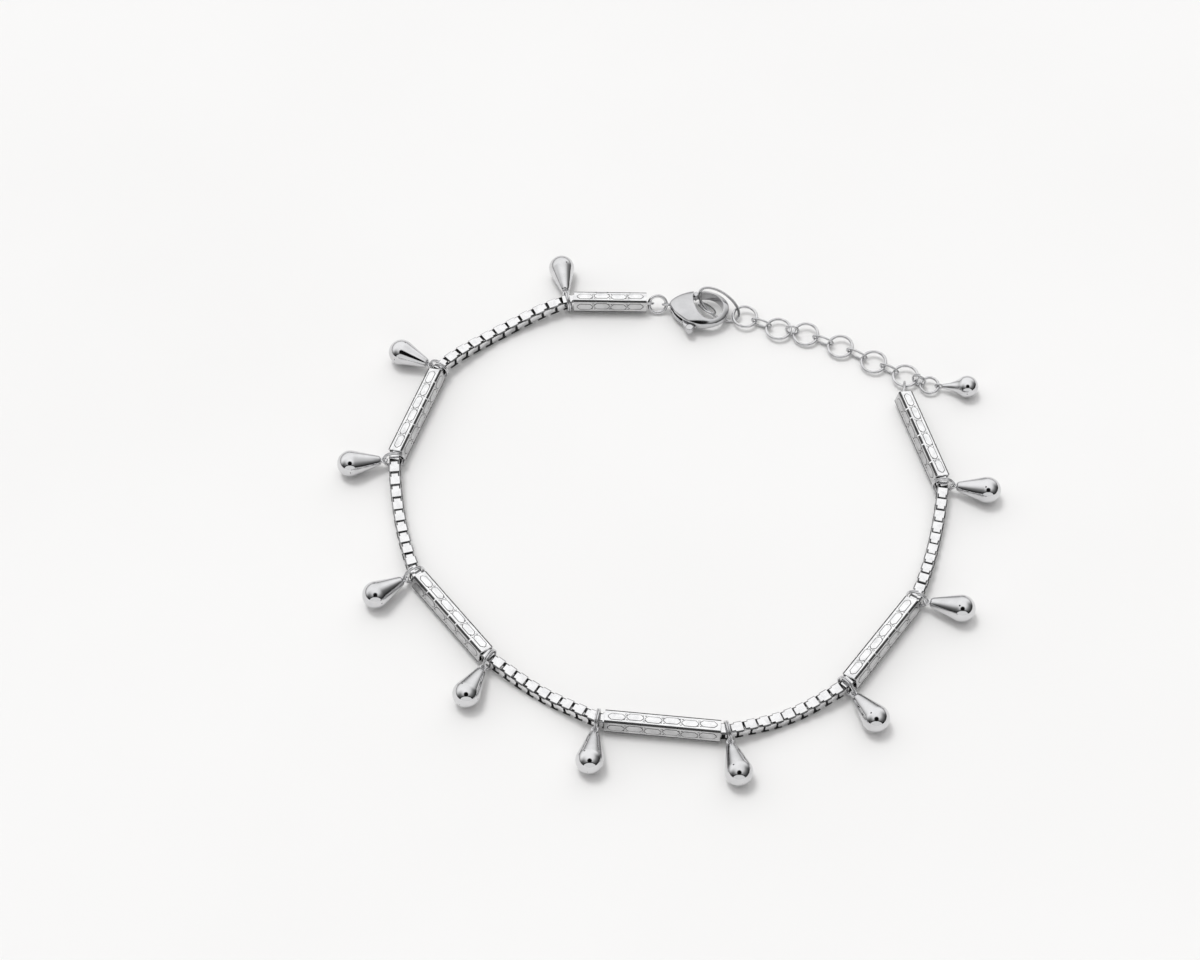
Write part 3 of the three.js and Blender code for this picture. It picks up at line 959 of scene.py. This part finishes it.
def addTube(node, settings):
    points = cornersOf(node)
    centre = (points.min(axis=0) + points.max(axis=0)) / 2
    centre[:2] = points[:, :2].mean(axis=0)
    along = np.linalg.svd(points - points.mean(axis=0))[2][0]
    reach = (points - centre) @ along
    length = reach.max() - reach.min()
    tube = makeTubeBody(length, settings)
    pattern = tubePattern(length, settings)
    faces = [pattern]
    for quarter in (1, 2, 3):
        faces.append(copyOf(pattern, "pattern", Matrix.Rotation(math.radians(90 * quarter), 4, "X")))
    # the patterns on the upright sides take the painted-shade copy as well
    for flank in faces[1::2]:
        flank.data.materials[0] = materials["tubeSidePaintedShade"]
    whole = joined([tube, *faces], node)
    smoothed(whole, settings["smoothing"])
    place = axisPlace(Vector(centre + along * reach.min()), Vector(along), upperSideOf(node))
    return finishPiece(whole, node, place)


for number in range(1, 7):
    addTube(f"bar_{number}", tubeSettings)
print("tubes made")


# Box chain

linkSettings = {
    "side": 1.5, "strip": 0.15, "smoothing": 18,
    "plateLength": 1.02, "plateEdge": 0.2, "plateBevel": 0.82, "plateRound": 0.06, "roundSteps": 2,
    "neckWidth": 0.84, "neckReach": 0.96, "heelReach": 0.435, "loopGap": 0.02,
    "bendRound": 0.15, "bendSteps": 3,
    # the links' spacing, which differs in the first two chains, and the size of every second link
    "pitch": 0.85, "chainPitches": {1: 1.03, 2: 0.9}, "innerShare": 0.88,
    # links go this far into the tubes at both ends, but stay clear of the solid chain's tips
    "hiddenReach": 1.6, "tipGap": 0.4,
}


def makeChainPlate(up, settings):
    # a plate with sloping long edges, above the link for 1 and below it for -1
    side, strip = settings["side"], settings["strip"]
    halfLength = settings["plateLength"] / 2
    plate = boxPiece(
        "chainPlate", (settings["plateLength"], side, strip), (0, 0, up * (side - strip) / 2)
    )

    def onOuterLong(edge):
        return spanOf(edge, 0) > strip and all(vertex.co.z * up > side / 2 - tiny for vertex in edge.verts)

    def onEnds(edge):
        atEnd = all(abs(vertex.co.x) > halfLength - tiny for vertex in edge.verts)
        return atEnd and all(vertex.co.z * up > side / 2 - settings["plateEdge"] for vertex in edge.verts)

    pick(plate, "EDGE", onOuterLong)
    bpy.ops.mesh.bevel(offset=settings["plateEdge"] * settings["plateBevel"])
    pick(plate, "EDGE", onEnds)
    bpy.ops.mesh.bevel(offset=settings["plateRound"], segments=settings["roundSteps"])
    leaveEditMode()
    coat(plate, "chainSteel", "chainInsidePaintedShade", "chainEdgePaintedShade")
    # outer faces stay bright; inner faces get the painted shade, and the sloping edges, sides and ends the
    # darker painted edge shade
    for face in plate.data.polygons:
        outward = face.normal.z * up
        face.material_index = 0 if outward > facing else 1 if outward < -facing else 2
    return plate


def makeChainLink(settings):
    # a narrow loop of strip, seen from the side, with a wide plate above and one below
    side, strip = settings["side"], settings["strip"]
    reach = settings["neckReach"] + settings["heelReach"]
    middle = (settings["heelReach"] - settings["neckReach"]) / 2
    loop = boxPiece(
        "chainLoop", (reach, settings["neckWidth"], side - settings["loopGap"]), (middle, 0, 0)
    )
    pick(loop, "FACE", lambda face: abs(face.normal.y) > facing)
    bpy.ops.mesh.delete(type="ONLY_FACE")
    pick(loop, "EDGE", lambda edge: spanOf(edge, 1) > settings["neckWidth"] / 2)
    bpy.ops.mesh.bevel(offset=settings["bendRound"], segments=settings["bendSteps"])
    faceOutwards(loop)
    coat(loop, "chainSteel", "chainInsidePaintedShade", "chainEdgePaintedShade")
    # the strip's inner faces take the painted shade in slot 1
    applyModifier(loop, "SOLIDIFY", thickness=strip, offset=-1, material_offset=1)
    plates = [makeChainPlate(up, settings) for up in (1, -1)]
    link = joined([loop, *plates], "chainLink")
    smoothed(link, settings["smoothing"])
    return link


tubeSides = 8      # of a solid chain's section
sameSpot = 1e-6    # in metres, a gap between two points that are one


def routeOf(node, start):
    # the middles of the solid chain's cross sections, walked from the end nearest to start
    mesh = bmesh.new()
    mesh.from_mesh(frame["nodes"][node].data)
    bmesh.ops.remove_doubles(mesh, verts=mesh.verts, dist=sameSpot)
    ring = set(sorted(mesh.verts, key=lambda vertex: (vertex.co - start).length)[:tubeSides])
    seen = set(ring)
    route = []
    while ring:
        route.append(sum((vertex.co for vertex in ring), Vector()) / len(ring) / millimetre)
        ring = {edge.other_vert(vertex) for vertex in ring for edge in vertex.link_edges} - seen
        seen |= ring
    mesh.free()
    return route


def walkRoute(route, distance):
    for here, there in zip(route, route[1:]):
        step = (there - here).length
        if distance <= step:
            return here.lerp(there, distance / step)
        distance -= step
    return route[-1]


def addChain(number, start, settings, linkTemplate):
    node = f"chain_{number}"
    route = routeOf(node, start)
    length = sum((there - here).length for here, there in zip(route, route[1:]))
    insideStart = (route[1] - route[0]).length
    insideEnd = (route[-1] - route[-2]).length
    first = max(settings["tipGap"], insideStart - settings["hiddenReach"])
    last = length - max(settings["tipGap"], insideEnd - settings["hiddenReach"])
    wanted = settings["chainPitches"].get(number, settings["pitch"])
    count = round((last - first) / wanted)
    pitch = (last - first) / count
    parts = []
    for index in range(count):
        at = first + pitch * (index + 0.5)
        back, ahead = walkRoute(route, at - pitch / 2), walkRoute(route, at + pitch / 2)
        place = axisPlace((back + ahead) / 2, ahead - back)
        # every second link is turned a quarter and is a little smaller, to pass inside its neighbours
        share = settings["innerShare"] if index % 2 else 1
        turned = Matrix.Rotation(math.pi / 2 * (index % 2), 4, "X")
        turned @= Matrix.Diagonal((pitch / settings["pitch"], share, share, 1))
        parts.append(copyOf(linkTemplate, "link", place @ turned))
    chain = joined(parts, node)
    return finishPiece(chain, node)


linkTemplate = makeChainLink(linkSettings)
for number in range(1, 6):
    low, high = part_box(f"bar_{number}")
    addChain(number, (low + high) / 2, linkSettings, linkTemplate)
discard(linkTemplate)
print("box chain made")


# Lobster clasp

claspSettings = {
    "lens": {"x": 4.3, "y": -0.65, "radii": (4.5, 3.2, 1.3), "segments": 96, "rings": 64},
    "outline": [
        (0.45, 0.35), (1.1, 1.0), (2.2, 1.62), (3.6, 2.05), (5.2, 2.32), (6.6, 1.98), (7.8, 0.95),
        (8.4, -0.5), (8.0, -2.1), (6.8, -3.2), (5.1, -3.7), (3.4, -3.45), (1.9, -2.5), (0.7, -0.9),
    ],
    "opening": [
        (3.75, 1.35), (3.6, 0.35), (3.85, -0.95), (4.4, -2.1), (5.4, -2.8), (6.6, -2.6),
        (7.4, -1.6), (7.55, -0.4), (7.15, 0.6), (6.3, 1.35), (5.1, 1.6),
    ],
    "gateGap": [(3.75, 1.0), (4.6, 1.2), (4.6, 3.2), (3.75, 3.2)],
    "slot": [
        (0.2, -0.9), (0.9, 0.1), (1.5, 1.2), (2.6, 3.0), (4.6, 3.0), (4.6, 0.2), (3.75, -1.6),
        (3.75, -4.0), (0.6, -4.0),
    ],
    "slotHalf": 0.31,
    "pivot": (2.4, -0.3), "pin": 0.28, "pinLength": 1.6,
    "bail": {
        "at": (-0.02, 0.42, -0.21), "radius": 0.48, "wire": 0.17, "lean": 48,
        "segments": 40, "section": 16,
    },
    "voxel": 0.055, "smoothing": 50,
}
leverSettings = {
    "outline": [
        (1.75, 0.25), (2.2, 1.2), (3.2, 1.9), (4.1, 2.05), (4.44, 1.74), (4.1, 1.32), (3.5, 1.0),
        (3.2, 0.35), (3.25, -0.9), (3.45, -3.9), (2.55, -3.9), (1.95, -1.1), (1.6, -0.4),
    ],
    "gate": [(3.85, 1.26), (4.1, 1.32), (4.44, 1.74), (4.1, 2.05), (3.85, 2.0)],
    "half": 0.24, "gateHalf": 0.5, "hole": 0.36,
    "thumb": {
        "at": (3.0, -4.0, 0), "radius": 0.52, "half": 0.5, "segments": 40,
        "round": 0.12, "roundSteps": 3,
    },
    "voxel": 0.05, "smoothing": 5,
}
through = 2         # half the height of a tool that passes right through the clasp
curveSteps = 8      # from one outline point to the next
roundSegments = 32  # of the pin and its hole
rubShare = 0.5      # how far one rub moves a point


def outlineSlab(name, points, half, curved=True):
    # a flat slab whose edge follows the points, as a smooth curve or straight from point to point
    curve = bpy.data.curves.new(name, "CURVE")
    curve.dimensions = "2D"
    curve.fill_mode = "BOTH"
    curve.extrude = half
    spline = curve.splines.new("BEZIER")
    spline.bezier_points.add(len(points) - 1)
    for knot, (x, y) in zip(spline.bezier_points, points):
        knot.co = (x, y, 0)
        knot.handle_left_type = knot.handle_right_type = "AUTO" if curved else "VECTOR"
    spline.use_cyclic_u = True
    spline.resolution_u = curveSteps
    slab = bpy.data.objects.new(name, curve)
    bpy.context.collection.objects.link(slab)
    selectOnly(slab)
    bpy.ops.object.convert(target="MESH")
    slab = bpy.context.object
    faceOutwards(slab, merge=True)
    return slab


def pivotCylinder(name, radius, depth):
    bpy.ops.mesh.primitive_cylinder_add(
        vertices=roundSegments, radius=radius, depth=depth, location=(*claspSettings["pivot"], 0)
    )
    return addedPiece(name)


def cutWith(piece, tool, operation):
    applyModifier(piece, "BOOLEAN", object=tool, operation=operation, solver="EXACT")
    discard(tool)


def rubRound(piece, settings):
    # one skin over all the joined solids, with its edges rubbed round
    applyModifier(piece, "REMESH", mode="VOXEL", voxel_size=settings["voxel"])
    applyModifier(piece, "SMOOTH", factor=rubShare, iterations=settings["smoothing"])
    for face in piece.data.polygons:
        face.use_smooth = True


def makeClaspBody(settings):
    lens = settings["lens"]
    bpy.ops.mesh.primitive_uv_sphere_add(
        segments=lens["segments"], ring_count=lens["rings"], radius=1,
        location=(lens["x"], lens["y"], 0), scale=lens["radii"],
    )
    body = addedPiece("claspBody")
    cutWith(body, outlineSlab("outer", settings["outline"], through), "INTERSECT")
    cutWith(body, outlineSlab("inner", settings["opening"], through), "DIFFERENCE")
    cutWith(body, outlineSlab("gap", settings["gateGap"], through, False), "DIFFERENCE")
    cutWith(body, outlineSlab("slot", settings["slot"], settings["slotHalf"], False), "DIFFERENCE")
    pin = pivotCylinder("pin", settings["pin"], settings["pinLength"])
    bail = settings["bail"]
    bpy.ops.mesh.primitive_torus_add(
        major_radius=bail["radius"], minor_radius=bail["wire"],
        major_segments=bail["segments"], minor_segments=bail["section"],
        location=bail["at"], rotation=(math.radians(90 + bail["lean"]), 0, 0),
    )
    eye = addedPiece("bail")
    rubRound(body, settings)
    smoothed(pin)
    smoothed(eye)
    body = joined([body, pin, eye], "claspBody")
    coat(body, "claspSteel")
    return body


def makeLever(settings):
    lever = outlineSlab("lever", settings["outline"], settings["half"])
    gate = outlineSlab("gate", settings["gate"], settings["gateHalf"])
    thumb = settings["thumb"]
    bpy.ops.mesh.primitive_cylinder_add(
        vertices=thumb["segments"], radius=thumb["radius"], depth=2 * thumb["half"],
        location=thumb["at"],
    )
    pad = addedPiece("thumbPad")
    applyModifier(pad, "BEVEL", width=thumb["round"], segments=thumb["roundSteps"])
    lever = joined([lever, gate, pad], "lever")
    hole = pivotCylinder("hole", settings["hole"], 2 * through)
    applyModifier(lever, "REMESH", mode="VOXEL", voxel_size=settings["voxel"])
    cutWith(lever, hole, "DIFFERENCE")
    rubRound(lever, settings)
    coat(lever, "claspSteel")
    return lever


hinge = Vector(frame["joints"][0]["pos_m"]) / millimetre
claspPlace = Matrix.Translation(hinge - Vector((*claspSettings["pivot"], 0)))
finishPiece(makeClaspBody(claspSettings), "clasp_body", claspPlace)
finishPiece(makeLever(leverSettings), "clasp_lever", claspPlace, "lever")
print("clasp made")
